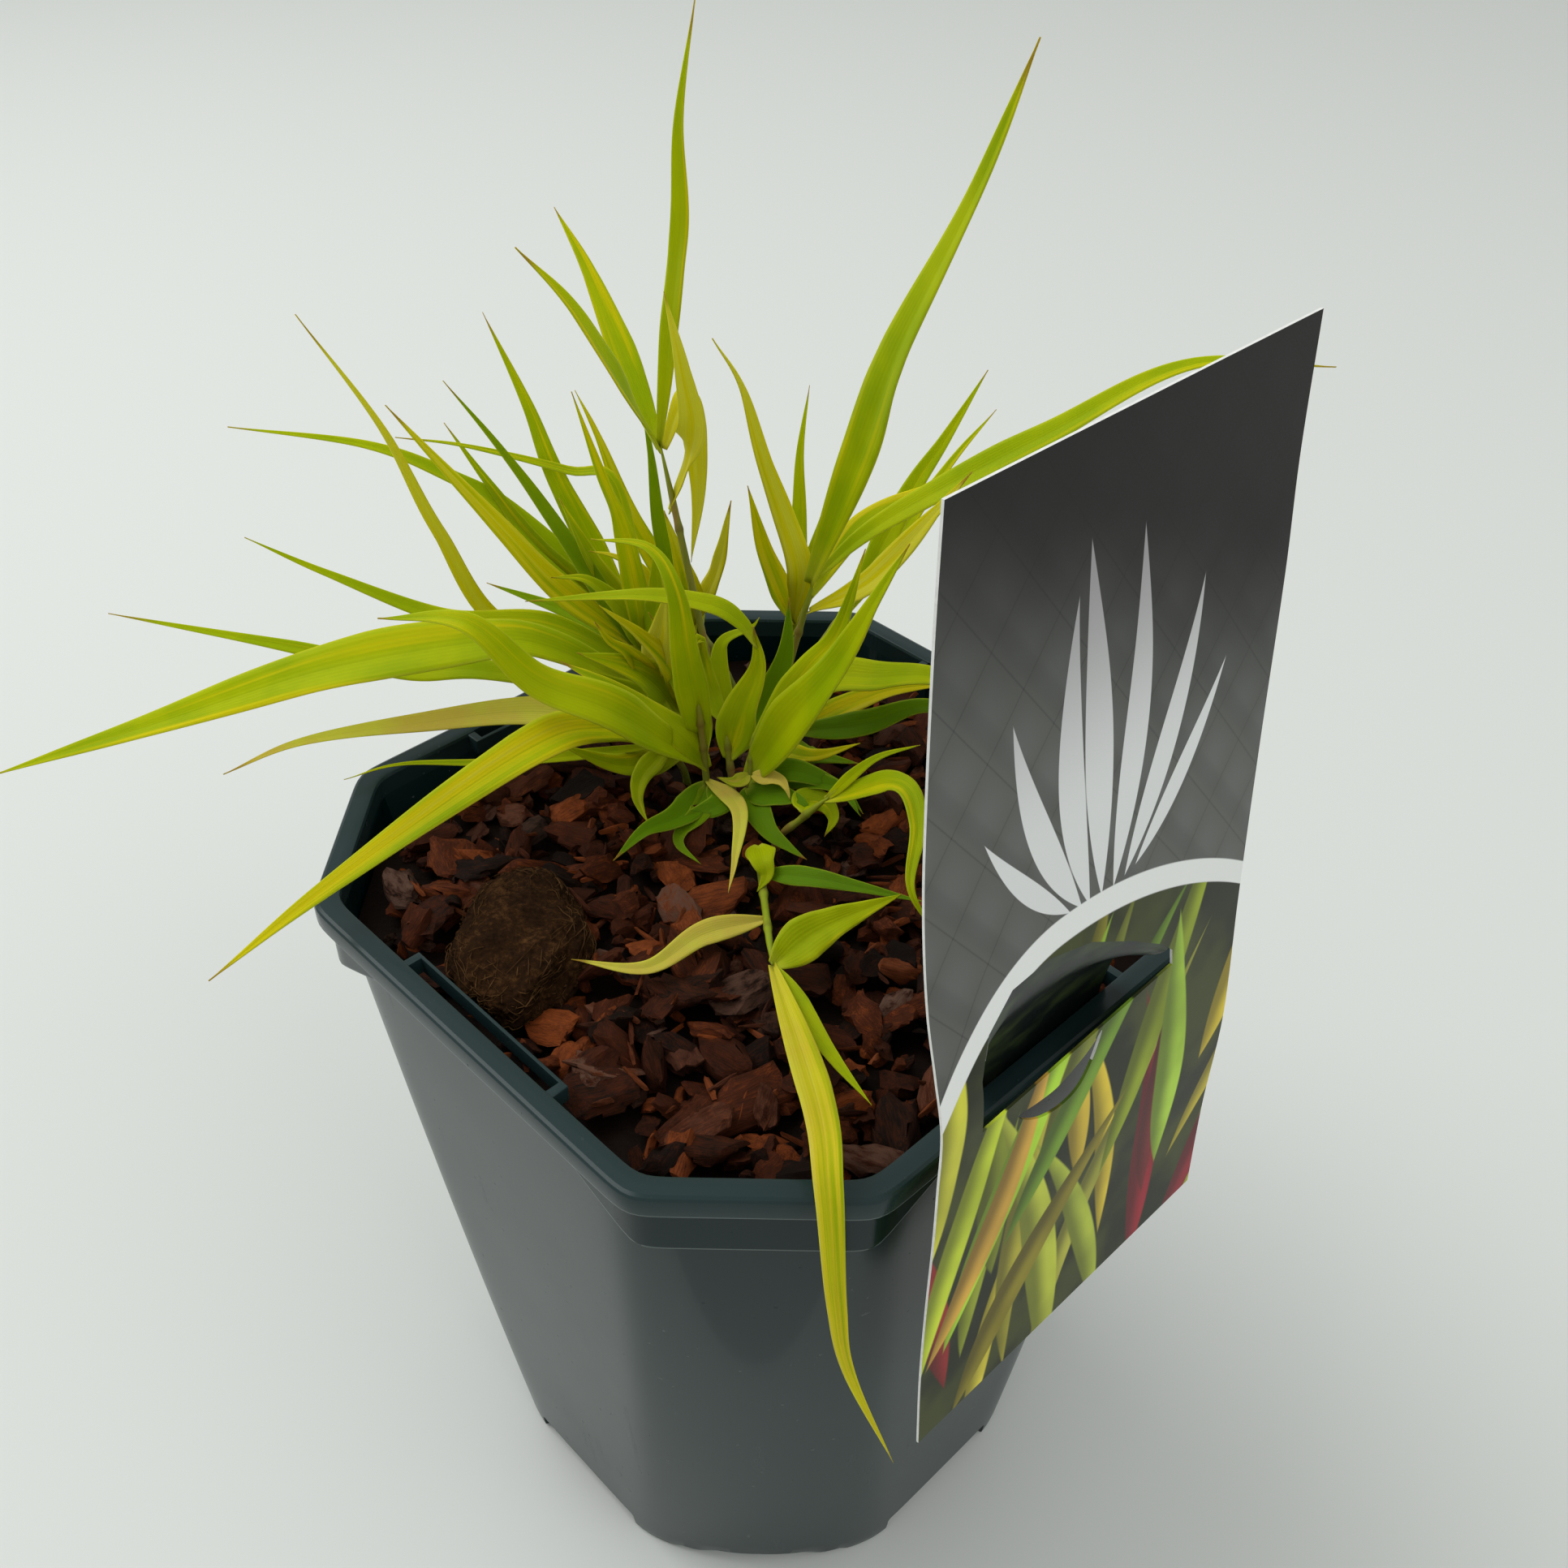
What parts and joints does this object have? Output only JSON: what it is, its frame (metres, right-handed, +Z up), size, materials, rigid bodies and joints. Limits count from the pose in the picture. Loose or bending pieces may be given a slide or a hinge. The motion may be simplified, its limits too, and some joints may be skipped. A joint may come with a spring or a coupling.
{
  "type": "japanese forest grass in a nursery pot",
  "caption": "Golden Japanese forest grass in a square dark plastic nursery pot with chamfered corners, bark mulch, a clod of peat and a plain picture card hooked on the rim.",
  "frame": {"origin": "middle of the pot's base, on the ground", "axes": "+Z up; the pot's front corner face looks along -Y; the card hangs on the right front side, between +X and -Y"},
  "size_m": [0.3072, 0.2089, 0.3552],
  "materials": {
    "pot_plastic": "dark slate blue-green moulded plastic, satin to glossy",
    "soil": "dark damp potting soil, matt",
    "bark": "damp red-brown bark chips, rough with a slight sheen",
    "peat": "dark brown fibrous peat, matt",
    "printed_card": "printed card with a smooth semi-gloss face and white cut edges",
    "leaf": "chartreuse grass blades with yellow lengthwise stripes, satin"
  },
  "bodies": {
    "root": {"pot": "pot_plastic", "potting_soil": "soil", "bark_mulch": "bark", "peat_clod": "peat", "care_card": "printed_card", "stem_tall_left": "leaf", "stem_tall_right": "leaf", "stem_front_left": "leaf", "stem_front_mid": "leaf", "stem_front_right": "leaf", "stem_right_low": "leaf", "stem_right_runner": "leaf", "stem_front_runner": "leaf", "stem_left_low": "leaf", "stem_left_mid": "leaf", "stem_left_up": "leaf", "stem_back_left": "leaf", "stem_back_mid": "leaf", "stem_back_right": "leaf", "stem_far_right": "leaf"}
  },
  "joints": []
}
